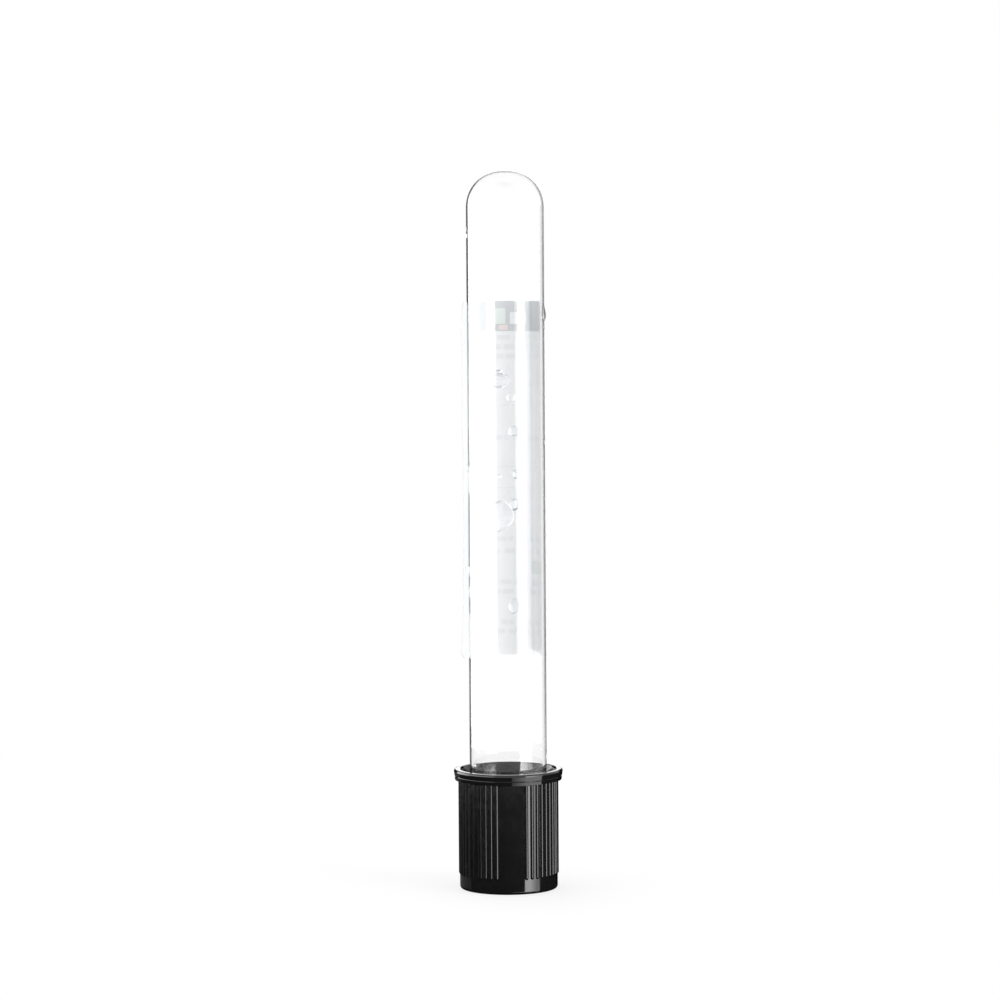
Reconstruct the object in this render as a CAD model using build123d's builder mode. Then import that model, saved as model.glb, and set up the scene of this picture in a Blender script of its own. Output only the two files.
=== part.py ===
"""Evacuated blood collection tube, 13 mm class, for the sedimentation-rate test.

The tube stands on its safety cap, with the closed end of the glass up. The origin is
the centre of the cap's end face and +Z runs up the tube. -Y is the front, where the
glass is bare, and the label is on the back. All sizes are in millimetres.

Pieces: cap, rubber_stopper, glass_tube, label and citrate_solution. The glass tube
pulls straight up and off the stopper, with its label. The stopper stays in the cap.
"""

import os

from build123d import *

# ---------------------------------------------------------------- glass tube
tube_diameter = 13.0        # outside, a standard rack and holder size
tube_wall = 0.6
tube_length = 116.0         # rim of the mouth to the crown of the closed end
crown_flat_radius = 0.55    # nearly flat middle of the closed end
rim_round = 0.25            # fire-polished edges of the mouth

# ------------------------------------------------------------------- stopper
head_length = 3.7           # end face to the ledge where the glass rim seats
head_hold = 0.35            # how far the cap's bead reaches over the head
head_round = 0.3
plug_length = 7.5           # ledge to inner end, inside the bore
plug_clearance = 0.03       # radial, plug to bore
plug_lead_in = 0.7          # rounded edge that starts the plug in the bore
well_diameter = 7.0         # hollow in the plug's inner end
well_depth = 3.6
well_floor_round = 1.2
well_edge_round = 0.3
dimple_diameter = 5.0       # thin spot that the needle pierces
dimple_depth = 1.0
dimple_round = 0.7
rim_seat_gap = 0.02         # glass rim to the rubber ledge

# ----------------------------------------------------------------------- cap
cap_height = 20.35
cap_end_wall = 1.3
cap_end_round = 0.5
needle_port_diameter = 8.0
port_chamfer = 0.3
head_clearance = 0.05       # radial, stopper head to its chamber
bead_clearance = 0.4        # radial, glass to the snap bead over the head
bead_gap = 0.05             # ledge of the head to the bead
bead_height = 0.9
bead_round = 0.3
sleeve_clearance = 1.05     # radial, glass to the inside of the sleeve
sleeve_wall = 0.72

flange_overhang = 0.976     # beyond the sleeve, measured at the lip
flange_height = 1.82
flange_draft = 0.22         # how much less it overhangs at its underside
flange_root_round = 0.2
flange_groove_level = 0.65  # middle of the groove above the underside
flange_groove_radius = 0.13
lip_width = 1.2             # outside of the flange to the edge of the mouth
lip_outer_round = 0.36
lip_inner_round = 0.4
mouth_flare = 2.0           # length of the taper from the sleeve to the mouth

# ---------------------------------------------------------------------- ribs
rib_places = 50             # even pitch all the way round
panel_places = 4            # ribs left out for each of the two smooth panels
panel_turn = 3.0            # degrees from the front to the middle of a panel
rib_radius = 0.4            # round section of a rib
rib_rise = 0.2              # crest above the sleeve
smooth_band_height = 2.4    # plain band between the cap's end and the ribs

# --------------------------------------------------------------------- label
label_height = 60.15
label_base = 38.95           # lower edge above the cap's end face
label_thickness = 0.12
label_adhesive = 0.05
label_right_angle = 84.0    # degrees round from the back to the right edge
label_left_angle = 68.0     # degrees round to where the paper leaves the glass
label_tail = 3.2            # free strip past that line
label_corner = 1.5

# ------------------------------------------------------------------ additive
solution_height = 4.3       # plug's inner end to the middle of the surface
meniscus_width = 2.0
meniscus_rise = 0.9

# --------------------------------------------------------- worked-out values
tube_radius = tube_diameter / 2
bore_radius = tube_radius - tube_wall
mouth_round = min(rim_round, 0.45 * tube_wall)  # so that both rounds fit on the rim
dome_round = tube_radius - crown_flat_radius
plug_radius = bore_radius - plug_clearance
well_radius = well_diameter / 2
dimple_radius = dimple_diameter / 2
bead_radius = tube_radius + bead_clearance
head_radius = bead_radius + head_hold
chamber_radius = head_radius + head_clearance
sleeve_radius = tube_radius + sleeve_clearance
cap_radius = sleeve_radius + sleeve_wall
flange_radius = cap_radius + flange_overhang
mouth_radius = flange_radius - lip_width
port_radius = needle_port_diameter / 2

head_base = cap_end_wall
ledge = head_base + head_length
plug_end = ledge + plug_length
well_floor = plug_end - well_depth
tube_base = ledge + rim_seat_gap
tube_top = tube_base + tube_length
bead_base = ledge + bead_gap
flange_base = cap_height - flange_height
groove_middle = flange_base + flange_groove_level
solution_surface = plug_end + solution_height

os.makedirs("parts", exist_ok=True)


# ------------------------------------------------------------------------ cap
# A moulded sleeve. Rounded ribs give it grip, a drafted flange with a rounded lip
# rings its open end, and its chamber and snap bead hold the stopper's head.
rib_pitch = 360 / rib_places
ribs_per_side = rib_places // 2 - panel_places
rib_start = smooth_band_height + rib_radius
rib_end = flange_base + flange_root_round
rib_line_radius = cap_radius + rib_rise - rib_radius
first_rib_angle = -90 + panel_turn + rib_pitch * (panel_places + 1) / 2

with BuildPart() as cap:
    with BuildSketch(Plane.XZ) as outside_profile:
        with BuildLine():
            FilletPolyline(
                (0, 0),
                (cap_radius, 0),
                (cap_radius, flange_base),
                (flange_radius - flange_draft, flange_base),
                (flange_radius, cap_height),
                (0, cap_height),
                radius=[0, cap_end_round, flange_root_round, 0, lip_outer_round, 0],
                close=True,
            )
        make_face()
        with Locations((flange_radius - flange_draft, groove_middle)):
            Circle(flange_groove_radius, mode=Mode.SUBTRACT)
    revolve(axis=Axis.Z)

    for side in (0, 180):
        with PolarLocations(
            rib_line_radius,
            ribs_per_side,
            start_angle=first_rib_angle + side,
            angular_range=rib_pitch * (ribs_per_side - 1),
            endpoint=True,
        ):
            with Locations((0, 0, rib_start)):
                Cylinder(
                    rib_radius,
                    rib_end - rib_start,
                    align=(Align.CENTER, Align.CENTER, Align.MIN),
                )
                Sphere(rib_radius)

    with BuildSketch(Plane.XZ) as cavity_profile:
        with BuildLine():
            FilletPolyline(
                (0, 0),
                (port_radius + port_chamfer, 0),
                (port_radius, port_chamfer),
                (port_radius, head_base),
                (chamber_radius, head_base),
                (chamber_radius, bead_base),
                (bead_radius, bead_base),
                (bead_radius, bead_base + bead_height),
                (sleeve_radius, bead_base + bead_height),
                (sleeve_radius, cap_height - mouth_flare),
                (mouth_radius, cap_height),
                (0, cap_height),
                radius=[0, 0, 0, 0, 0, 0, bead_round, bead_round, 0, 0, 0, 0],
                close=True,
            )
        make_face()
    revolve(axis=Axis.Z, mode=Mode.SUBTRACT)

    mouth_edge = cap.edges().filter_by(GeomType.CIRCLE).group_by(Axis.Z)[-1].sort_by(SortBy.RADIUS)[0]
    fillet(mouth_edge, lip_inner_round)

cap.part.label = "cap"
export_step(cap.part, "parts/cap.step")


# -------------------------------------------------------------------- stopper
# Bromobutyl rubber, turned round: a head held in the cap, a plug with a well in its
# inner end, and a dimple in the head where a needle goes through.
with BuildPart() as rubber_stopper:
    with BuildSketch(Plane.XZ):
        with BuildLine():
            FilletPolyline(
                (0, head_base + dimple_depth),
                (dimple_radius, head_base + dimple_depth),
                (dimple_radius, head_base),
                (head_radius, head_base),
                (head_radius, ledge),
                (plug_radius, ledge),
                (plug_radius, plug_end),
                (well_radius, plug_end),
                (well_radius, well_floor),
                (0, well_floor),
                radius=[
                    0,
                    dimple_round,
                    0,
                    head_round,
                    head_round,
                    0,
                    plug_lead_in,
                    well_edge_round,
                    well_floor_round,
                    0,
                ],
                close=True,
            )
        make_face()
    revolve(axis=Axis.Z)

rubber_stopper.part.label = "rubber_stopper"
export_step(rubber_stopper.part, "parts/rubber_stopper.step")


# ----------------------------------------------------------------- glass tube
# Drawn glass of one wall thickness, closed by a dome that is a little flat on top.
with BuildPart() as glass_tube:
    with BuildSketch(Plane.XZ):
        with BuildLine():
            FilletPolyline(
                (bore_radius, tube_base),
                (tube_radius, tube_base),
                (tube_radius, tube_top),
                (0, tube_top),
                (0, tube_top - tube_wall),
                (bore_radius, tube_top - tube_wall),
                radius=[mouth_round, mouth_round, dome_round, 0, 0, dome_round - tube_wall],
                close=True,
            )
        make_face()
    revolve(axis=Axis.Z)

glass_tube.part.label = "glass_tube"
export_step(glass_tube.part, "parts/glass_tube.step")


# ---------------------------------------------------------------------- label
# Paper wrapped round the back of the glass. Its left edge has sprung free and stands
# off along the tangent. All four corners are rounded.
paper_inside = tube_radius + label_adhesive
first_angle = 90 - label_right_angle
wrap_angle = label_right_angle + label_left_angle

with BuildPart() as label:
    with BuildSketch(Plane.XY.offset(label_base)):
        with BuildLine():
            inner_wrap = CenterArc((0, 0), paper_inside, first_angle, wrap_angle)
            outer_wrap = CenterArc((0, 0), paper_inside + label_thickness, first_angle, wrap_angle)
            inner_tail = Line(inner_wrap @ 1, inner_wrap @ 1 + (inner_wrap % 1) * label_tail)
            outer_tail = Line(outer_wrap @ 1, outer_wrap @ 1 + (outer_wrap % 1) * label_tail)
            Line(inner_wrap @ 0, outer_wrap @ 0)
            Line(inner_tail @ 1, outer_tail @ 1)
        make_face()
    extrude(amount=label_height)

    # Each corner's cutter is a square with a quarter round taken out, which stands on
    # the paper with its round's centre one radius in from both edges.
    wrap_share = label_corner / inner_wrap.length
    tail_share = 1 - label_corner / label_tail
    corner_centres = [
        (inner_wrap @ wrap_share, -(inner_wrap % wrap_share)),
        (inner_tail @ tail_share, inner_tail % tail_share),
    ]
    lower = Vector(0, 0, label_base + label_corner)
    upper = Vector(0, 0, label_base + label_height - label_corner)
    corner_planes = []
    for centre, outward in corner_centres:
        corner_planes.append(Plane(centre + lower, x_dir=outward, z_dir=outward.cross(Vector(0, 0, -1))))
        corner_planes.append(Plane(centre + upper, x_dir=outward, z_dir=outward.cross(Vector(0, 0, 1))))
    with BuildSketch(*corner_planes):
        Rectangle(2 * label_corner, 2 * label_corner, align=(Align.MIN, Align.MIN))
        Circle(label_corner, mode=Mode.SUBTRACT)
    extrude(amount=2 * label_thickness, both=True, mode=Mode.SUBTRACT)

label.part.label = "label"
export_step(label.part, "parts/label.step")


# ----------------------------------------------------------- citrate solution
# The liquid additive, pooled on the stopper: it fills the well and climbs a little up
# the wall of the bore.
with BuildPart() as citrate_solution:
    with BuildSketch(Plane.XZ):
        with BuildLine():
            well_mouth_radius = well_radius + well_edge_round
            below = Polyline(
                (0, solution_surface),
                (0, well_floor),
                (well_mouth_radius, well_floor),
                (well_mouth_radius, plug_end),
                (plug_radius, plug_end),
                (plug_radius, solution_surface + meniscus_rise),
            )
            level = Line((0, solution_surface), (plug_radius - meniscus_width, solution_surface))
            TangentArc(level @ 1, below @ 1, tangent=level % 1)
        make_face()
    revolve(axis=Axis.Z)
    add(rubber_stopper.part, mode=Mode.SUBTRACT)

citrate_solution.part.label = "citrate_solution"
export_step(citrate_solution.part, "parts/citrate_solution.step")
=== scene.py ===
"""Looks of an evacuated blood collection tube that stands on its black safety cap.

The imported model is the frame. The cap, the stopper and the liquid keep their solids and
get finished materials. The glass, the printed paper label and the drops of liquid on the
glass are modelled here. Everything is in metres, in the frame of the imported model.
"""

import math
import random

import bmesh
import bpy
from bpy.props import FloatProperty, FloatVectorProperty, IntProperty, PointerProperty
from mathutils import Matrix, Vector, noise


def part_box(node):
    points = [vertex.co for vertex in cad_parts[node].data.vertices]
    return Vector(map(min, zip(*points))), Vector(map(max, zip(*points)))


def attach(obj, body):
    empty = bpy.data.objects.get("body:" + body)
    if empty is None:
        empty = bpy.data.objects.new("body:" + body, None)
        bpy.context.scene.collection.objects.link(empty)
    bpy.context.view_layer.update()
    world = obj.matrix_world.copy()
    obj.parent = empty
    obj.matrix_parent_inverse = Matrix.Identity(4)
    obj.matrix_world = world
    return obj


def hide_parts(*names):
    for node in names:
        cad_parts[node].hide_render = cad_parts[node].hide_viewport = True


bl_info = {
    "name": "Blood Collection Tube",
    "version": (1, 0, 0),
    "blender": (4, 5, 0),
    "location": "3D View > Sidebar > Blood Tube",
    "description": "Builds the looks of a blood collection tube round its packed solids",
    "category": "Add Mesh",
}

MM = 0.001
LIQUID = (0.97, 0.985, 0.99)

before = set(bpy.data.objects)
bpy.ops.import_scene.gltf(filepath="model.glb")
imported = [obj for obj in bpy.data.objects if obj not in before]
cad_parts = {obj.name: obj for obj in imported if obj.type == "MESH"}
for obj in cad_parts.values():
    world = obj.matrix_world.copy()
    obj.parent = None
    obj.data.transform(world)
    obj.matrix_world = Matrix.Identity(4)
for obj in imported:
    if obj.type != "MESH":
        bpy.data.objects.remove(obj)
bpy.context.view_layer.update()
glass_low, glass_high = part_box("glass_tube")
label_low, label_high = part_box("label")
tube_radius = glass_high.x


# ------------------------------------------------------------------ settings
def length(name, value, description):
    """A length setting, given in millimetres and kept in metres."""
    return FloatProperty(
        name=name, description=description, default=value * MM, min=0, unit="LENGTH", precision=5
    )


def angle(name, value, description):
    """An angle setting, given in degrees and kept in radians."""
    return FloatProperty(
        name=name, description=description, default=math.radians(value), unit="ROTATION"
    )


def share(name, value, description):
    """A plain number setting."""
    return FloatProperty(name=name, description=description, default=value, min=0)


def colour(name, value, description):
    """A colour setting."""
    return FloatVectorProperty(
        name=name, description=description, default=value, size=3, min=0, max=1, subtype="COLOR"
    )


class BloodTubePlastics(bpy.types.PropertyGroup):
    """Finish of the moulded cap and of the rubber stopper."""

    cap_black: colour("Cap black", (0.0065, 0.0065, 0.0068), "Body colour of the cap")
    cap_worn: colour("Cap grey", (0.0090, 0.0090, 0.0090), "Paler cloudiness in the cap's colour")
    cap_shine: share("Cap roughness", 0.07, "Lowest roughness of the cap's skin")
    peel_size: length("Skin size", 0.45, "Size of the soft ripples in the moulded skin")
    peel_depth: length("Skin depth", 0.0015, "Depth of the ripples in the moulded skin")
    rubber_grey: colour("Rubber grey", (0.09, 0.09, 0.095), "Colour of the stopper")


class BloodTubeGlass(bpy.types.PropertyGroup):
    """Form and finish of the glass."""

    wall: length("Wall", 0.6, "Thickness of the glass")
    crown_flat: length("Crown flat", 0.55, "Radius of the nearly flat middle of the closed end")
    rim_round: length("Rim round", 0.25, "Radius of the fire-polished edges of the mouth")
    steps: IntProperty(name="Steps", description="Faces round the tube", default=160, min=24)
    bend: share("Index", 1.473, "Index of refraction of the glass")
    # Painted shade: this colour darkens the glass where it is seen edge-on, in place of the dark edge
    # line that refraction and reflection give.
    painted_edge_shade: colour("Edge", (0.035, 0.04, 0.045), "Tint of the glass where it is seen edge-on")


class BloodTubeLabel(bpy.types.PropertyGroup):
    """Form and print of the paper label."""

    adhesive: length("Adhesive", 0.05, "Gap from the glass to the paper")
    paper: length("Paper", 0.12, "Thickness of the paper")
    right_angle: angle("Right edge", 84.0, "From the back of the tube to the right edge")
    left_angle: angle("Left line", 68.0, "From the back to the line where the paper leaves the glass")
    tail: length("Tail", 3.2, "Width of the free strip past that line")
    corner: length("Corner", 1.5, "Radius of the label's corners")
    lower_curl: length("Lower curl", 0.55, "How far the lower corner of the tail has curled out")
    upper_curl: length("Upper curl", 0.3, "How far the upper corner of the tail has curled out")
    white: colour("Paper white", (0.86, 0.865, 0.875), "Coated face of the paper")
    back: colour("Paper back", (0.87, 0.885, 0.90), "Face that is stuck to the glass")
    header: colour("Header", (0.30, 0.34, 0.36), "Band across the top")
    green: colour("Green", (0.22, 0.52, 0.33), "Green field in the header")
    red: colour("Red", (0.72, 0.22, 0.17), "Red field in the header")
    block: colour("Block", (0.42, 0.50, 0.48), "Field beside the writing lines")
    text: colour("Text", (0.16, 0.18, 0.22), "Bars that stand for lines of print")
    show: share("Show-through", 0.55, "Share of a solid field that shows on the back of the paper")
    show_text: share("Text show-through", 0.10, "The same for the lines of print")


class BloodTubeDrops(bpy.types.PropertyGroup):
    """Drops of liquid that cling to the glass."""

    seed: IntProperty(name="Seed", description="Seed of the drops' outlines", default=7)
    ripple: share("Ripple", 0.12, "How uneven the outline of a drop is")
    sag: share("Sag", 0.3, "How much thicker a drop is at its foot")
    edge: share("Edge", 1.5, "1 for a drop with a round edge, 2 for one that thins out to its edge")
    # Painted shade: this colour darkens a drop's upper and lower rims, in place of the dark rims that
    # refraction gives.
    shade: colour("Shade", (0.10, 0.11, 0.13), "Tint of a drop's upper and lower rims")
    bend: share("Index", 1.34, "Index of refraction of the liquid")


class BloodTubeStage(bpy.types.PropertyGroup):
    """Camera, lamps and surroundings."""

    camera_side: FloatProperty(
        name="Camera side", description="Camera's place across", default=-0.77 * MM, unit="LENGTH"
    )
    camera_distance: length("Camera distance", 700.0, "Camera to the axis of the tube")
    camera_height: length("Camera height", 117.8, "Camera above the floor")
    camera_tilt: angle("Camera tilt", 4.25, "How far the camera looks down")
    camera_roll: angle("Camera roll", 0.37, "How far the camera is turned about its line of sight")
    lens: FloatProperty(name="Lens", description="Focal length", default=150.2, unit="CAMERA")
    lamp_distance: length("Lamp distance", 600.0, "Softboxes and near cards to the axis of the tube")
    right_lamp: share("Right lamp", 2.35, "Power of the softbox on the right, in watts")
    left_lamp: share("Left lamp", 1.7, "Power of the softbox on the left, in watts")
    back_lamp: share("Back lamp", 1.6, "Power of the lamp high up behind, in watts")
    right_face: share("Right face", 7.5, "Brightness of the right softbox in reflections")
    left_face: share("Left face", 4.2, "Brightness of the left softbox in reflections")
    front_face: share("Front face", 2.2, "Brightness of the card in front in reflections")
    low_face: share("Low face", 3.2, "Brightness of the low card on the right in reflections")
    left_low_face: share("Left low face", 0.15, "Brightness of the low card on the left")
    back_face: share("Back face", 2.2, "Brightness of the card behind in reflections")
    surround: share("Surround", 0.68, "Light from all round")


SETTINGS = {
    "tube_plastics": BloodTubePlastics,
    "tube_glass": BloodTubeGlass,
    "tube_label": BloodTubeLabel,
    "tube_drops": BloodTubeDrops,
    "tube_stage": BloodTubeStage,
}


# ----------------------------------------------------------------- materials
CLOUD_SIZE = 6 * MM         # cloudiness in the cap's colour
PATCH_SIZE = 1.1 * MM       # patches of duller skin on the cap
PATCH_ROUGHER = 0.04        # how much rougher the dullest patch is
DRAW_MARK_SIZE = 0.3 * MM   # width of the cap's upright draw marks
DRAW_MARK_DEPTH = 0.0015 * MM
GRAIN_SIZE = 0.2 * MM       # pits in the rubber
GRAIN_DEPTH = 0.006 * MM
FIBRE_SIZE = 0.25 * MM      # fibres in the paper
FIBRE_DEPTH = 0.004 * MM
STREAK_SIZE = 5 * MM        # unevenness of the painted edge shade along the tube
EDGE_RANGE = (0.63, 0.73)   # how edge-on the glass is where its painted edge shade starts and where it is full
EDGE_LEAST = 0.75           # the painted edge shade's share where it is palest
RIGHT_EDGE = 0.72           # the painted edge shade's share on the right side of the tube
GAP_PALENESS = 0.85         # share of the painted edge shade that is missing in a gap of the line
RIM_RANGE = (0.4, 0.8)      # how steeply a drop faces up or down where its painted rim shade starts and is full

# Beside the label's tail the painted shade of the edge line is whole only in these stretches, and its
# gaps stand in for where the tail's reflections break the line: the foot and the top of each in turn,
# in millimetres above the floor.
WHOLE_STRETCHES = (46.6, 49.4, 51.3, 53.1, 54.7, 67.0, 71.3, 99.05)


def new_material(name):
    """A material with only a Principled shader, its tree and that shader."""
    material = bpy.data.materials.new(name)
    material.use_nodes = True
    tree = material.node_tree
    shader = next(n for n in tree.nodes if n.type == "BSDF_PRINCIPLED")
    return material, tree, shader


def new_node(tree, kind, **values):
    """A node with its properties set."""
    made = tree.nodes.new(kind)
    for key, value in values.items():
        setattr(made, key, value)
    return made


def object_noise(tree, size, stretch=(1, 1, 1), detail=2.0):
    """Noise over the object, with features of about that size, in metres. Returns its output."""
    coordinates = new_node(tree, "ShaderNodeTexCoord")
    mapping = new_node(tree, "ShaderNodeMapping")
    mapping.inputs["Scale"].default_value = stretch
    texture = new_node(tree, "ShaderNodeTexNoise")
    texture.inputs["Scale"].default_value = 1 / size
    texture.inputs["Detail"].default_value = detail
    tree.links.new(coordinates.outputs["Object"], mapping.inputs["Vector"])
    tree.links.new(mapping.outputs["Vector"], texture.inputs["Vector"])
    return texture.outputs["Fac"]


def ranged(tree, source, low, high, to_low, to_high, smooth=False):
    """A value spread from one range to another, and held at its ends."""
    made = new_node(tree, "ShaderNodeMapRange", clamp=True)
    if smooth:
        made.interpolation_type = "SMOOTHSTEP"
    for name, value in zip(("From Min", "From Max", "To Min", "To Max"), (low, high, to_low, to_high)):
        made.inputs[name].default_value = value
    tree.links.new(source, made.inputs["Value"])
    return made.outputs["Result"]


def maths(tree, operation, first, second):
    """A Math node of two inputs, each a socket or a number."""
    made = new_node(tree, "ShaderNodeMath", operation=operation)
    for socket, value in zip(made.inputs, (first, second)):
        if isinstance(value, (int, float)):
            socket.default_value = value
        else:
            tree.links.new(value, socket)
    return made.outputs["Value"]


def mixed_colour(tree, factor, first, second, blend="MIX"):
    """A colour between two, each a socket or a colour."""
    made = new_node(tree, "ShaderNodeMix", data_type="RGBA", blend_type=blend)
    sockets = [s for s in made.inputs if s.type == "RGBA"]
    for socket, value in zip(sockets, (first, second)):
        if isinstance(value, bpy.types.NodeSocket):
            tree.links.new(value, socket)
        else:
            socket.default_value = (*value, 1)
    factor_socket = next(s for s in made.inputs if s.identifier == "Factor_Float")
    if isinstance(factor, (int, float)):
        factor_socket.default_value = factor
    else:
        tree.links.new(factor, factor_socket)
    return next(s for s in made.outputs if s.type == "RGBA")


def bumped(tree, shader, height, depth, before=None):
    """A bump of that depth on the shader, on top of an earlier one. Returns its normal."""
    made = new_node(tree, "ShaderNodeBump")
    made.inputs["Strength"].default_value = 1.0
    made.inputs["Distance"].default_value = depth
    tree.links.new(height, made.inputs["Height"])
    if before is not None:
        tree.links.new(before, made.inputs["Normal"])
    tree.links.new(made.outputs["Normal"], shader.inputs["Normal"])
    return made.outputs["Normal"]


def cap_plastic(settings):
    """Glossy black moulded plastic: a rippled skin, faint draw marks and patchy shine."""
    material, tree, shader = new_material("black_moulded_plastic")
    cloud = object_noise(tree, CLOUD_SIZE)
    body = mixed_colour(tree, cloud, settings.cap_black, settings.cap_worn)
    tree.links.new(body, shader.inputs["Base Color"])
    patches = object_noise(tree, PATCH_SIZE, detail=4.0)
    dullest = settings.cap_shine + PATCH_ROUGHER
    rough = ranged(tree, patches, 0.35, 0.75, settings.cap_shine, dullest)
    tree.links.new(rough, shader.inputs["Roughness"])
    ripples = object_noise(tree, settings.peel_size)
    skin = bumped(tree, shader, ripples, settings.peel_depth)
    draw_marks = object_noise(tree, DRAW_MARK_SIZE, stretch=(1, 1, 0.04))
    bumped(tree, shader, draw_marks, DRAW_MARK_DEPTH, skin)
    return material


def stopper_rubber(settings):
    """Matt dark rubber with a fine pitted grain."""
    material, tree, shader = new_material("stopper_rubber_grey")
    speckle = object_noise(tree, GRAIN_SIZE, detail=5.0)
    darker = [0.8 * c for c in settings.rubber_grey]
    grey = mixed_colour(tree, speckle, darker, settings.rubber_grey)
    tree.links.new(grey, shader.inputs["Base Color"])
    tree.links.new(ranged(tree, speckle, 0.3, 0.7, 0.5, 0.68), shader.inputs["Roughness"])
    bumped(tree, shader, speckle, GRAIN_DEPTH)
    return material


def clear(name, bend, tint=(1.0, 1.0, 1.0)):
    """A smooth clear material. Returns the material, its tree and its shader."""
    material, tree, shader = new_material(name)
    shader.inputs["Base Color"].default_value = (*tint, 1)
    shader.inputs["Roughness"].default_value = 0.0
    shader.inputs["IOR"].default_value = bend
    shader.inputs["Transmission Weight"].default_value = 1.0
    return material, tree, shader


def whole_line(tree, height):
    """By height, 1 where the painted edge shade is whole and 0 in its gaps beside the label's tail."""
    low, high = label_low.z - MM, label_high.z + MM
    position = ranged(tree, height, low, high, 0, 1)
    bands = new_node(tree, "ShaderNodeValToRGB")
    ramp = bands.color_ramp
    ramp.interpolation = "CONSTANT"
    ramp.elements.remove(ramp.elements[1])
    ramp.elements[0].color = (1, 1, 1, 1)
    changes = [(label_low.z, 0)]
    changes += [(level * MM, 1 - number % 2) for number, level in enumerate(WHOLE_STRETCHES)]
    changes += [(label_high.z, 1)]
    for level, whole in changes:
        ramp.elements.new((level - low) / (high - low)).color = (whole, whole, whole, 1)
    tree.links.new(position, bands.inputs["Fac"])
    return bands.outputs["Color"]


def glass_with_painted_edge(settings):
    """The outside of the glass, with a painted dark edge line: painted shade where it is seen edge-on,
    uneven along the tube, less on the right, and on the left with gaps beside the label's tail."""
    material, tree, shader = clear("drawn_glass_outside", settings.bend)
    facing = new_node(tree, "ShaderNodeLayerWeight")
    facing.inputs["Blend"].default_value = 0.5
    edge = ranged(tree, facing.outputs["Facing"], *EDGE_RANGE, 0, 1, smooth=True)
    streaks = object_noise(tree, STREAK_SIZE, stretch=(1, 1, 0.3), detail=3.0)
    depth = ranged(tree, streaks, 0.36, 0.5, EDGE_LEAST, 1.0)
    coordinates = new_node(tree, "ShaderNodeTexCoord")
    place = new_node(tree, "ShaderNodeSeparateXYZ")
    tree.links.new(coordinates.outputs["Object"], place.inputs[0])
    side = ranged(tree, place.outputs["X"], -tube_radius, tube_radius, 1.0, RIGHT_EDGE)
    at_left = ranged(tree, place.outputs["X"], 0, -tube_radius, 0, 1)
    paleness = ranged(tree, whole_line(tree, place.outputs["Z"]), 0, 1, GAP_PALENESS, 0)
    kept = maths(tree, "SUBTRACT", 1.0, maths(tree, "MULTIPLY", at_left, paleness))
    # Painted shade: how dark the painted edge line is, from how edge-on the glass is, less on the
    # right and paler in its gaps.
    dark = edge
    for factor in (depth, side, kept):
        dark = maths(tree, "MULTIPLY", dark, factor)
    tint = mixed_colour(tree, dark, (1.0, 1.0, 1.0), settings.painted_edge_shade)
    tree.links.new(tint, shader.inputs["Base Color"])
    return material


def drop_liquid(settings):
    """Clear liquid, with painted shade on a drop's upper and lower rims."""
    material, tree, shader = clear("drop_liquid", settings.bend, LIQUID)
    geometry = new_node(tree, "ShaderNodeNewGeometry")
    facing = new_node(tree, "ShaderNodeSeparateXYZ")
    tree.links.new(geometry.outputs["Normal"], facing.inputs[0])
    steep = maths(tree, "ABSOLUTE", facing.outputs["Z"], 0)
    painted_rim_shade = ranged(tree, steep, *RIM_RANGE, 0, 1, smooth=True)
    tree.links.new(mixed_colour(tree, painted_rim_shade, LIQUID, settings.shade), shader.inputs["Base Color"])
    return material


def label_paper():
    """Coated paper: its print is in the mesh's ink colours, over fine fibres."""
    material, tree, shader = new_material("printed_paper")
    ink = new_node(tree, "ShaderNodeAttribute", attribute_name="ink", attribute_type="GEOMETRY")
    fibres = object_noise(tree, FIBRE_SIZE, stretch=(1, 1, 0.35), detail=4.0)
    shade = ranged(tree, fibres, 0.3, 0.7, 0.955, 1.0)
    grey = new_node(tree, "ShaderNodeCombineColor")
    for channel in ("Red", "Green", "Blue"):
        tree.links.new(shade, grey.inputs[channel])
    tree.links.new(
        mixed_colour(tree, 1.0, ink.outputs["Color"], grey.outputs["Color"], blend="MULTIPLY"),
        shader.inputs["Base Color"],
    )
    tree.links.new(ranged(tree, fibres, 0.3, 0.7, 0.42, 0.55), shader.inputs["Roughness"])
    bumped(tree, shader, fibres, FIBRE_DEPTH)
    return material


def dress(node, material):
    """Gives a carried-over solid its finished material."""
    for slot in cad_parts[node].material_slots:
        slot.material = material


# -------------------------------------------------------------------- meshes
WELD = 1e-7                 # points nearer than this are one
SHARP = math.radians(40)    # edges that turn more than this stay sharp


def finished(bm, name, material, body):
    """Closes a bmesh into an object that rides on a body: welded, outward and smooth."""
    bmesh.ops.remove_doubles(bm, verts=bm.verts[:], dist=WELD)
    bmesh.ops.recalc_face_normals(bm, faces=bm.faces[:])
    mesh = bpy.data.meshes.new(name)
    bm.to_mesh(mesh)
    bm.free()
    mesh.shade_smooth()
    mesh.set_sharp_from_angle(angle=SHARP)
    mesh.materials.append(material)
    made = bpy.data.objects.new(name, mesh)
    bpy.context.scene.collection.objects.link(made)
    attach(made, body)
    return made


def let_light_through(piece):
    """Lets plain light reach what is behind a clear piece, without a shadow or a caustic."""
    piece.visible_shadow = False
    piece.visible_diffuse = False


def wire(bm, points):
    """A chain of edges in the XZ plane through (radius, height) points. Returns its vertices."""
    corners = [bm.verts.new((radius, 0, height)) for radius, height in points]
    for first, second in zip(corners, corners[1:]):
        bm.edges.new((first, second))
    return corners


def rounded(bm, corners, radius, segments):
    """Rounds corners of a chain of edges or of a flat sheet."""
    bmesh.ops.bevel(
        bm,
        geom=corners,
        offset=radius,
        offset_type="OFFSET",
        segments=segments,
        profile=0.5,
        affect="VERTICES",
        material=-1,
    )


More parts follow.
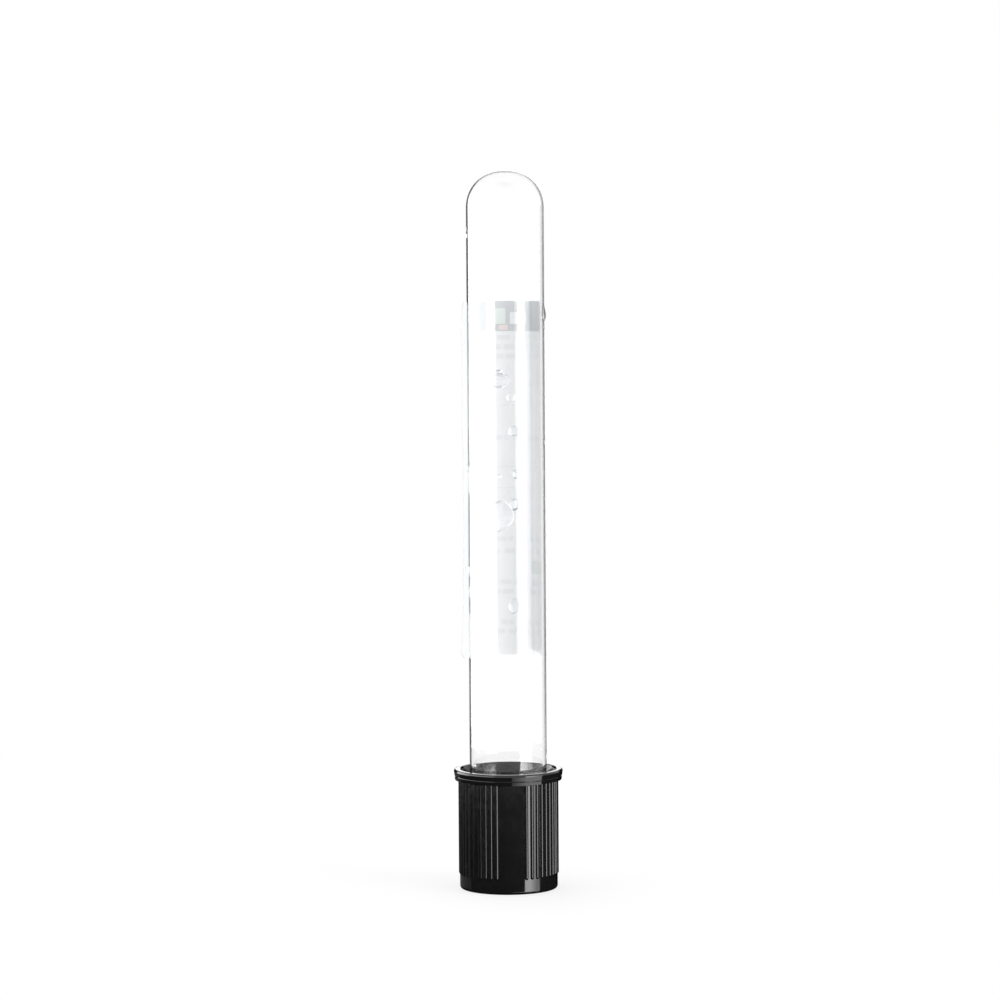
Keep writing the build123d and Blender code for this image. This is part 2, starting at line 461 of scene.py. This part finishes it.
def spun(bm, steps):
    """Turns a chain of edges once round the Z axis."""
    bmesh.ops.spin(
        bm,
        geom=bm.verts[:] + bm.edges[:],
        cent=(0, 0, 0),
        axis=(0, 0, 1),
        angle=2 * math.pi,
        steps=steps,
        use_merge=True,
    )


def cylindrical(turn, radius, height):
    """A point at an angle from the back of the tube, positive towards +X."""
    return Vector((radius * math.sin(turn), radius * math.cos(turn), height))


# --------------------------------------------------------------------- glass
STRAIGHT = 0.1 * MM         # straight length left beside each round of the section


def glass_mesh(settings):
    """The tube's wall: a straight bore, a fire-polished mouth and a domed end. Its outward faces
    take the second material."""
    base, top, outer = glass_low.z, glass_high.z, tube_radius
    inner = outer - settings.wall
    dome = outer - settings.crown_flat
    shoulder = top - dome - STRAIGHT
    lip = base + settings.rim_round + STRAIGHT
    bm = bmesh.new()
    corners = wire(
        bm,
        [
            (0, top - settings.wall),
            (inner, top - settings.wall),
            (inner, shoulder),
            (inner, lip),
            (inner, base),
            (outer, base),
            (outer, lip),
            (outer, shoulder),
            (outer, top),
            (0, top),
        ],
    )
    rounded(bm, [corners[1]], dome - settings.wall, 28)
    rounded(bm, [corners[4]], settings.rim_round, 5)
    rounded(bm, [corners[5]], settings.rim_round, 5)
    rounded(bm, [corners[8]], dome, 28)
    spun(bm, settings.steps)
    bmesh.ops.remove_doubles(bm, verts=bm.verts[:], dist=WELD)
    bmesh.ops.recalc_face_normals(bm, faces=bm.faces[:])
    for face in bm.faces:
        centre = face.calc_center_median()
        centre.z = max(0, centre.z - shoulder)
        face.material_index = int(face.normal.dot(centre) > 0)
    return bm


# --------------------------------------------------------------------- label
GRID = 0.4 * MM             # print lies on columns of this pitch
# Rows of words and ruled lines, in millimetres above the label's foot.
WORD_ROWS = (53.6, 52.0, 50.4, 36.6, 19.4, 17.3, 12.0, 10.4, 5.2, 3.6)
RULE_ROWS = (46.0, 42.4, 32.0, 28.4, 24.8)
WORD_HEIGHT = 0.8 * MM
RULE_HEIGHT = 0.16 * MM
RULE_END = 36 * GRID
WORDS_END = 32 * GRID
HEADER_HEIGHT = 5.1 * MM
PRINT_SEED = 11
CURL_UP_TO = 13 * MM        # the lower curl has died out at this height above the label's foot
CURL_CENTRE = 4.5 * MM      # the upper curl is most at this depth below the label's top
CURL_SPREAD = 4 * MM        # and has died out this far from there
WAVES = ((0.05 * MM, 5.1 * MM), (0.03 * MM, 1.9 * MM))  # depth and size of the tail's waves


def print_fields(settings, wrap, height):
    """The print as (left, right, low, high, ink, show-through) fields, measured from the
    label's right edge and from its foot. The header stops short of the tail."""
    margin = 4 * GRID
    below = height - 3.9 * MM
    show = settings.show
    fields = [
        (0, wrap - 2 * GRID, height - HEADER_HEIGHT, height, settings.header, show),
        (24 * GRID, 30 * GRID, below, height - 1.2 * MM, settings.green, 0.4 * show),
        (14 * GRID, 22 * GRID, below, height - 1.9 * MM, settings.white, show),
        (23 * GRID, 27 * GRID, height - 4.9 * MM, height - 4.1 * MM, settings.red, 0.5 * show),
        (0, 11 * GRID, 14.0 * MM, 16.2 * MM, settings.block, 0.5 * show),
    ]
    line = (settings.text, settings.show_text)
    for row in RULE_ROWS:
        fields.append((margin, RULE_END, row * MM, row * MM + RULE_HEIGHT, *line))
    rng = random.Random(PRINT_SEED)
    for row in WORD_ROWS:
        left = margin
        while left < WORDS_END:
            right = left + rng.randint(2, 6) * GRID
            fields.append((left, right, row * MM, row * MM + WORD_HEIGHT, *line))
            left = right + rng.randint(1, 2) * GRID
    return fields


def print_at(fields, across, up, plain):
    """The ink and the show-through of the last field that holds a point, or plain paper."""
    found = (plain, 0)
    for left, right, low, high, ink, show in fields:
        if left < across < right and low < up < high:
            found = (ink, show)
    return Vector(found[0]), found[1]


def cut(bm, place, normal):
    """Cuts every face along a plane."""
    bmesh.ops.bisect_plane(
        bm,
        geom=bm.verts[:] + bm.edges[:] + bm.faces[:],
        dist=1e-8,
        plane_co=place,
        plane_no=normal,
    )


def flat_label(settings, width, height, fields):
    """The label laid flat: X across from its right edge, Y up, Z out from the glass."""
    bm = bmesh.new()
    bmesh.ops.create_grid(bm, x_segments=1, y_segments=1, size=0.5)
    bmesh.ops.transform(
        bm,
        verts=bm.verts[:],
        matrix=Matrix.Diagonal((width, height, 1, 1)) @ Matrix.Translation((0.5, 0.5, 0)),
    )
    rounded(bm, bm.verts[:], settings.corner, 6)
    for column in range(1, math.ceil(width / GRID)):
        cut(bm, (column * GRID, 0, 0), (1, 0, 0))
    rows = {row * 2 * MM for row in range(1, math.ceil(height / (2 * MM)))}
    rows.update(edge for field in fields for edge in field[2:4])
    for row in sorted(rows):
        cut(bm, (0, row, 0), (0, 1, 0))
    raised = bmesh.ops.extrude_face_region(bm, geom=bm.faces[:], use_keep_orig=True)
    lifted = [v for v in raised["geom"] if isinstance(v, bmesh.types.BMVert)]
    bmesh.ops.translate(bm, verts=lifted, vec=(0, 0, settings.paper))
    return bm


def coloured(bm, settings, fields):
    """Prints the outer face, and lets some of the print show on the face to the glass."""
    layer = bm.loops.layers.float_color.new("ink")
    for face in bm.faces:
        centre = face.calc_center_median()
        if centre.z > 0.9 * settings.paper:
            ink, show = print_at(fields, centre.x, centre.y, settings.white)
        elif centre.z < 0.1 * settings.paper:
            through, show = print_at(fields, centre.x, centre.y, settings.back)
            ink = Vector(settings.back).lerp(through, show)
        else:
            ink = Vector(settings.white)
        for loop in face.loops:
            loop[layer] = (*ink, 1)


def curled(settings, along_tail, up, height):
    """How far the free strip stands out: most at its lower corner, some at its upper one."""
    if along_tail <= 0:
        return 0
    reach = (along_tail / settings.tail) ** 2
    lower = settings.lower_curl * max(0, 1 - up / CURL_UP_TO) ** 2
    upper = settings.upper_curl * max(0, 1 - abs(height - CURL_CENTRE - up) / CURL_SPREAD) ** 2
    wave = sum(depth * math.sin(up / size) for depth, size in WAVES)
    return reach * (lower + upper + wave)


def glued(settings):
    """The radius of the paper's inner face, and the width of the part that is stuck down."""
    inside = tube_radius + settings.adhesive
    return inside, inside * (settings.right_angle + settings.left_angle)


def wrapped(bm, settings, height):
    """Bends the flat label round the glass, with its tail straight and a little curled."""
    inside, wrap = glued(settings)
    leave = -settings.left_angle
    outward = cylindrical(leave, 1, 0)
    tangent = Vector((-math.cos(leave), math.sin(leave), 0))
    for vert in bm.verts:
        across, up, out = vert.co
        lift = label_low.z + up
        if across <= wrap:
            vert.co = cylindrical(settings.right_angle - across / inside, inside + out, lift)
        else:
            past = across - wrap
            stand = inside + out + curled(settings, past, up, height)
            vert.co = outward * stand + tangent * past + Vector((0, 0, lift))


def label_mesh(settings):
    """The whole printed label in its place."""
    height = label_high.z - label_low.z
    wrap = glued(settings)[1]
    width = wrap + settings.tail
    fields = print_fields(settings, wrap, height)
    bm = flat_label(settings, width, height, fields)
    coloured(bm, settings, fields)
    wrapped(bm, settings, height)
    return bm


# --------------------------------------------------------------------- drops
# Each drop: angle from the front towards +X in degrees, height above the floor, width,
# height and thickness in millimetres, then the direction of a lobe in degrees and how far it
# reaches. Inner ones hang in the bore.
INNER_DROPS = (
    (-10.6, 86.2, 3.8, 2.4, 0.55, 200, 0.15),
    (11.9, 77.7, 1.7, 1.9, 0.45, 0, 0.0),
    (7.5, 83.3, 1.2, 1.6, 0.35, 60, 0.2),
    (14.5, 70.6, 0.8, 1.4, 0.3, 270, 0.2),
    (-10.2, 70.2, 0.5, 0.5, 0.2, 0, 0.0),
    (-10.0, 63.7, 4.4, 4.9, 0.9, 205, 0.75),
    (12.5, 65.4, 1.6, 1.8, 0.5, 90, 0.1),
    (11.2, 48.5, 1.7, 2.3, 0.4, 250, 0.2),
    (-64.8, 35.5, 0.45, 0.4, 0.15, 0, 0.0),
    (69.4, 23.8, 0.5, 0.5, 0.2, 0, 0.0),
    (-66.0, 21.2, 0.45, 0.4, 0.15, 0, 0.0),
    (-11.0, 87.7, 1.3, 0.5, 0.3, 0, 0.0),
    (-5.5, 87.1, 1.6, 0.5, 0.3, 0, 0.0),
)
OUTER_DROPS = (
    (-86.0, 111.3, 0.8, 1.2, 0.2, 0, 0.0),
    (-80.0, 110.2, 0.5, 0.9, 0.18, 0, 0.0),
    (-84.0, 71.2, 0.6, 1.4, 0.18, 0, 0.0),
    (-88.0, 51.0, 0.4, 0.6, 0.15, 0, 0.0),
    (84.0, 97.0, 1.1, 2.4, 0.28, 90, 0.2),
    (88.0, 94.9, 0.6, 0.9, 0.25, 0, 0.0),
    (86.0, 75.5, 0.5, 1.2, 0.2, 0, 0.0),
    (88.0, 59.9, 0.4, 0.6, 0.15, 0, 0.0),
    (86.0, 22.6, 0.5, 1.7, 0.15, 0, 0.0),
)
DROP_GAP = 0.004 * MM       # between a drop and the wall it hangs on


def drop_mesh(settings, rng, drop, wall_radius, inward):
    """One drop on the wall: a dome on a base that follows the wall, thicker at its foot."""
    turn, height, width, tall, thick, lobe_turn, lobe = drop
    turn, lobe_turn = math.radians(180 - turn), math.radians(180 - lobe_turn)
    bm = bmesh.new()
    bmesh.ops.create_icosphere(bm, subdivisions=4, radius=1)
    bmesh.ops.bisect_plane(
        bm,
        geom=bm.verts[:] + bm.edges[:] + bm.faces[:],
        plane_co=(0, 0, 0),
        plane_no=(0, 0, 1),
        clear_inner=True,
    )
    bmesh.ops.holes_fill(bm, edges=[e for e in bm.edges if e.is_boundary])
    offset = Vector((rng.uniform(0, 50), rng.uniform(0, 50), rng.uniform(0, 50)))
    for vert in bm.verts:
        across, up, out = vert.co
        uneven = 1 + settings.ripple * noise.noise(Vector((across, up, 0)) * 1.3 + offset)
        uneven += lobe * max(0, math.cos(math.atan2(up, across) - lobe_turn)) ** 4
        depth = max(0, out) ** settings.edge * thick * MM * (1 - settings.sag * up)
        sideways = across * uneven * width * MM / 2
        lift = (height + up * uneven * tall / 2) * MM
        stand = -DROP_GAP - depth if inward else DROP_GAP + depth
        vert.co = cylindrical(turn + sideways / wall_radius, wall_radius + stand, lift)
    return bm


# --------------------------------------------------------------------- stage
TRAY_RADIUS = 3.0
TRAY_FLOOR = -0.34
FRONT_WALL = 0.1
LOW_WALL = 0.16             # the back wall in its gap and at its ends
HIGH_WALL = 1.2             # the back wall between them
GAP_HALF_WIDTH = 0.45
HIGH_HALF_WIDTH = 1.9
SHADOW_RANGE = (0.06, 0.2)  # distance from the tube at which its shadow starts to fade and is gone
NEAR_GLOW = 0.74            # the floor's own glow inside that range, under a matt 0.3


def seen_straight(tree):
    """1 for camera, glossy and transmission rays that no matt surface has scattered."""
    path = new_node(tree, "ShaderNodeLightPath")
    seen = maths(tree, "MAXIMUM", path.outputs["Is Camera Ray"], path.outputs["Is Glossy Ray"])
    seen = maths(tree, "MAXIMUM", seen, path.outputs["Is Transmission Ray"])
    unscattered = maths(tree, "LESS_THAN", path.outputs["Diffuse Depth"], 0.5)
    return maths(tree, "MULTIPLY", seen, unscattered)


def white_surround(settings):
    """A world that is white where it is seen, and a plain soft light elsewhere."""
    world = bpy.data.worlds.new("studio_white")
    bpy.context.scene.world = world
    world.use_nodes = True
    tree = world.node_tree
    background = next(n for n in tree.nodes if n.type == "BACKGROUND")
    background.inputs["Color"].default_value = (1, 1, 1, 1)
    level = ranged(tree, seen_straight(tree), 0, 1, settings.surround, 1)
    tree.links.new(level, background.inputs["Strength"])


def floor_white():
    """White where it is seen, with the object's shadow, and plain matt white elsewhere."""
    material, tree, shader = new_material("floor_white")
    shader.inputs["Base Color"].default_value = (0.85, 0.85, 0.85, 1)
    shader.inputs["Roughness"].default_value = 0.9
    coordinates = new_node(tree, "ShaderNodeTexCoord")
    distance = new_node(tree, "ShaderNodeVectorMath", operation="LENGTH")
    tree.links.new(coordinates.outputs["Object"], distance.inputs[0])
    far = ranged(tree, distance.outputs["Value"], *SHADOW_RANGE, 0, 1, smooth=True)
    glow = new_node(tree, "ShaderNodeEmission")
    tree.links.new(ranged(tree, far, 0, 1, NEAR_GLOW, 1.0), glow.inputs["Strength"])
    matt = new_node(tree, "ShaderNodeBsdfDiffuse")
    tree.links.new(mixed_colour(tree, far, (0.3, 0.3, 0.3), (0.0, 0.0, 0.0)), matt.inputs["Color"])
    both = new_node(tree, "ShaderNodeAddShader")
    tree.links.new(glow.outputs[0], both.inputs[0])
    tree.links.new(matt.outputs[0], both.inputs[1])
    choice = new_node(tree, "ShaderNodeMixShader")
    tree.links.new(seen_straight(tree), choice.inputs[0])
    tree.links.new(shader.outputs[0], choice.inputs[1])
    tree.links.new(both.outputs[0], choice.inputs[2])
    output = next(n for n in tree.nodes if n.type == "OUTPUT_MATERIAL")
    tree.links.new(choice.outputs[0], output.inputs["Surface"])
    return material


def one_shader(name, kind):
    """A material of one plain shader. Returns the material, its tree and its shader."""
    material = bpy.data.materials.new(name)
    material.use_nodes = True
    tree = material.node_tree
    output = next(n for n in tree.nodes if n.type == "OUTPUT_MATERIAL")
    shader = new_node(tree, kind)
    tree.links.new(shader.outputs[0], output.inputs["Surface"])
    return material, tree, shader


def glowing(name, brightness, fade):
    """A glowing face, dark to light that a matt surface has scattered. With a fade it goes from
    full at one angle round the tube to a share of its brightness at another."""
    material, tree, shader = one_shader(name, "ShaderNodeEmission")
    path = new_node(tree, "ShaderNodeLightPath")
    unscattered = maths(tree, "LESS_THAN", path.outputs["Diffuse Depth"], 0.5)
    strength = maths(tree, "MULTIPLY", unscattered, brightness)
    if fade:
        full, faint, least = fade
        coordinates = new_node(tree, "ShaderNodeTexCoord")
        place = new_node(tree, "ShaderNodeSeparateXYZ")
        tree.links.new(coordinates.outputs["Object"], place.inputs[0])
        ahead = maths(tree, "MULTIPLY", place.outputs["Y"], -1)
        turn = maths(tree, "ARCTAN2", place.outputs["X"], ahead)
        faded = ranged(tree, turn, math.radians(full), math.radians(faint), 1, least)
        strength = maths(tree, "MULTIPLY", strength, faded)
    tree.links.new(strength, shader.inputs["Strength"])
    return material


def matt_black(name):
    """Black that throws nothing back."""
    material, _, shader = one_shader(name, "ShaderNodeBsdfDiffuse")
    shader.inputs["Color"].default_value = (0, 0, 0, 1)
    return material


def staged(bm, name, material, **visible):
    """A stage object, hidden from the kinds of ray that are named."""
    mesh = bpy.data.meshes.new(name)
    bm.to_mesh(mesh)
    bm.free()
    mesh.materials.append(material)
    made = bpy.data.objects.new(name, mesh)
    bpy.context.scene.collection.objects.link(made)
    for kind, shown in visible.items():
        setattr(made, "visible_" + kind, shown)
    return made


def around(distance, turn, height):
    """A place at an angle from the front, positive towards +X."""
    return Vector((distance * math.sin(turn), -distance * math.cos(turn), height))


def arc_mesh(distance, start, end, low, high):
    """An upright curved panel round the tube, from one angle to another."""
    bm = bmesh.new()
    edge = [bm.verts.new(around(distance, start, height)) for height in (low, high)]
    geometry = edge + [bm.edges.new(edge)]
    bmesh.ops.spin(bm, geom=geometry, cent=(0, 0, 0), axis=(0, 0, 1), angle=end - start, steps=24)
    return bm


def card(name, distance, start, end, low, high, brightness, fade=None, **visible):
    """A curved glowing face between two angles, for gloss and glass alone."""
    staged(
        arc_mesh(distance, math.radians(start), math.radians(end), low, high),
        name,
        glowing(name + "_glow", brightness, fade),
        camera=False,
        diffuse=False,
        shadow=False,
        **visible,
    )


def area_lamp(name, place, target, width, height, power):
    """A lamp aimed at a place. It is not seen itself, in gloss or through glass."""
    lamp = bpy.data.lights.new(name, "AREA")
    lamp.shape = "RECTANGLE"
    lamp.size = width
    lamp.size_y = height
    lamp.energy = power
    made = bpy.data.objects.new(name, lamp)
    bpy.context.scene.collection.objects.link(made)
    made.location = place
    made.rotation_euler = (target - place).to_track_quat("-Z", "Y").to_euler()
    made.visible_camera = False
    made.visible_glossy = False
    made.visible_transmission = False


def softbox(name, distance, start, end, low, high, power, brightness, fade=None):
    """A lamp, and the curved face that shows in gloss and glass, between two angles."""
    card(name + "_face", distance, start, end, low, high, brightness, fade)
    width = distance * abs(math.radians(end - start))
    place = around(distance, math.radians(start + end) / 2, (low + high) / 2)
    level_target = Vector((0, 0, place.z))
    area_lamp(name + "_lamp", place, level_target, width, high - low, power)


def black_tray():
    """A wide black tray under and round the set, seen by gloss only. Its front wall is low. Its
    back wall is high, with a low gap in the middle, and low again at both ends."""
    bm = bmesh.new()
    wire(bm, [(0, TRAY_FLOOR), (TRAY_RADIUS, TRAY_FLOOR), (TRAY_RADIUS, FRONT_WALL)])
    spun(bm, 120)
    for vert in bm.verts:
        if vert.co.z > 0 and vert.co.y > 0:
            high = GAP_HALF_WIDTH <= abs(vert.co.x) < HIGH_HALF_WIDTH
            vert.co.z = HIGH_WALL if high else LOW_WALL
    black = matt_black("flag_black")
    staged(bm, "black_tray", black, camera=False, diffuse=False, transmission=False)


# ----------------------------------------------------------------- operators
class BLOODTUBE_OT_cap(bpy.types.Operator):
    """Finish the cap in glossy black moulded plastic"""

    bl_idname = "blood_tube.cap"
    bl_label = "Cap"

    def execute(self, context):
        dress("cap", cap_plastic(context.scene.tube_plastics))
        return {"FINISHED"}


class BLOODTUBE_OT_stopper(bpy.types.Operator):
    """Finish the stopper in matt rubber"""

    bl_idname = "blood_tube.stopper"
    bl_label = "Stopper"

    def execute(self, context):
        dress("rubber_stopper", stopper_rubber(context.scene.tube_plastics))
        return {"FINISHED"}


class BLOODTUBE_OT_solution(bpy.types.Operator):
    """Finish the liquid additive that stands on the stopper"""

    bl_idname = "blood_tube.solution"
    bl_label = "Solution"

    def execute(self, context):
        liquid = clear("citrate_liquid", context.scene.tube_drops.bend, LIQUID)[0]
        dress("citrate_solution", liquid)
        return {"FINISHED"}


class BLOODTUBE_OT_glass(bpy.types.Operator):
    """Make the glass tube by turning its section"""

    bl_idname = "blood_tube.glass"
    bl_label = "Glass"

    def execute(self, context):
        settings = context.scene.tube_glass
        bore_glass = clear("drawn_glass_inside", settings.bend)[0]
        made = finished(glass_mesh(settings), "drawn_glass_tube", bore_glass, "tube")
        made.data.materials.append(glass_with_painted_edge(settings))
        let_light_through(made)
        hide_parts("glass_tube")
        return {"FINISHED"}


class BLOODTUBE_OT_label(bpy.types.Operator):
    """Make the printed label, wrapped round the back of the glass"""

    bl_idname = "blood_tube.label"
    bl_label = "Label"

    def execute(self, context):
        made = finished(
            label_mesh(context.scene.tube_label), "paper_label", label_paper(), "tube"
        )
        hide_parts("label")
        return {"FINISHED"}


class BLOODTUBE_OT_drops(bpy.types.Operator):
    """Make the drops of liquid that cling to the glass"""

    bl_idname = "blood_tube.drops"
    bl_label = "Drops"

    def execute(self, context):
        settings = context.scene.tube_drops
        material = drop_liquid(settings)
        rng = random.Random(settings.seed)
        bore = tube_radius - context.scene.tube_glass.wall
        for kind, drops, wall_radius, inward in (
            ("inner", INNER_DROPS, bore, True),
            ("outer", OUTER_DROPS, tube_radius, False),
        ):
            for number, drop in enumerate(drops, 1):
                made = finished(
                    drop_mesh(settings, rng, drop, wall_radius, inward),
                    f"{kind}_drop_{number:02d}",
                    material,
                    "tube",
                )
                let_light_through(made)
        return {"FINISHED"}


class BLOODTUBE_OT_stage(bpy.types.Operator):
    """Set up the floor, the lamps, the surroundings and the camera"""

    bl_idname = "blood_tube.stage"
    bl_label = "Stage"

    def execute(self, context):
        scene = context.scene
        settings = scene.tube_stage
        scene.view_settings.view_transform = "Standard"
        white_surround(settings)

        bm = bmesh.new()
        bmesh.ops.create_grid(bm, x_segments=1, y_segments=1, size=2.0)
        staged(bm, "floor", floor_white(), glossy=False, transmission=False, shadow=False)
        black_tray()

        near = settings.lamp_distance
        softbox(
            "right_softbox",
            near,
            start=37.5,
            end=77.0,
            low=-0.15,
            high=0.35,
            power=settings.right_lamp,
            brightness=settings.right_face,
            fade=(50, 68, 0.4),
        )
        softbox(
            "left_softbox",
            near,
            start=-31.0,
            end=-142.0,
            low=-0.056,
            high=0.42,
            power=settings.left_lamp,
            brightness=settings.left_face,
        )
        card(
            "front_card",
            near,
            start=-31.0,
            end=37.5,
            low=-0.056,
            high=0.12,
            brightness=settings.front_face,
            transmission=False,
        )
        card(
            "low_card",
            near,
            start=8.0,
            end=77.0,
            low=-0.30,
            high=-0.17,
            brightness=settings.low_face,
            fade=(40, 12, 0.3),
        )
        card(
            "left_low_card",
            near,
            start=-100.0,
            end=-165.0,
            low=-0.13,
            high=-0.056,
            brightness=settings.left_low_face,
            transmission=False,
        )
        card(
            "back_card",
            distance=2.5,
            start=171.5,
            end=188.5,
            low=0.12,
            high=0.75,
            brightness=settings.back_face,
            transmission=False,
        )
        area_lamp(
            "back_lamp",
            place=Vector((-0.25, 0.75, 0.75)),
            target=Vector((0, 0, 0)),
            width=0.8,
            height=0.8,
            power=settings.back_lamp,
        )

        camera = bpy.data.objects.new("camera", bpy.data.cameras.new("camera"))
        scene.collection.objects.link(camera)
        camera.data.lens = settings.lens
        camera.data.clip_start = 0.05
        camera.location = (settings.camera_side, -settings.camera_distance, settings.camera_height)
        camera.rotation_euler = (math.pi / 2 - settings.camera_tilt, settings.camera_roll, 0)
        scene.camera = camera
        return {"FINISHED"}


OPERATORS = (
    BLOODTUBE_OT_cap,
    BLOODTUBE_OT_stopper,
    BLOODTUBE_OT_solution,
    BLOODTUBE_OT_glass,
    BLOODTUBE_OT_label,
    BLOODTUBE_OT_drops,
    BLOODTUBE_OT_stage,
)


class BLOODTUBE_PT_panel(bpy.types.Panel):
    """The pieces of the tube, with their settings"""

    bl_idname = "BLOODTUBE_PT_panel"
    bl_label = "Blood Tube"
    bl_space_type = "VIEW_3D"
    bl_region_type = "UI"
    bl_category = "Blood Tube"

    def draw(self, context):
        for operator in OPERATORS:
            self.layout.operator(operator.bl_idname)
        for name in SETTINGS:
            box = self.layout.box()
            group = getattr(context.scene, name)
            for prop in group.__annotations__:
                box.prop(group, prop)


def register():
    for name, group in SETTINGS.items():
        bpy.utils.register_class(group)
        setattr(bpy.types.Scene, name, PointerProperty(type=group))
    for made in (*OPERATORS, BLOODTUBE_PT_panel):
        bpy.utils.register_class(made)


def unregister():
    for made in (BLOODTUBE_PT_panel, *reversed(OPERATORS)):
        bpy.utils.unregister_class(made)
    for name, group in SETTINGS.items():
        delattr(bpy.types.Scene, name)
        bpy.utils.unregister_class(group)


def main():
    """Builds every piece in order."""
    register()
    for operator in OPERATORS:
        getattr(bpy.ops.blood_tube, operator.bl_idname.split(".")[1])()


if __name__ == "__main__":
    main()
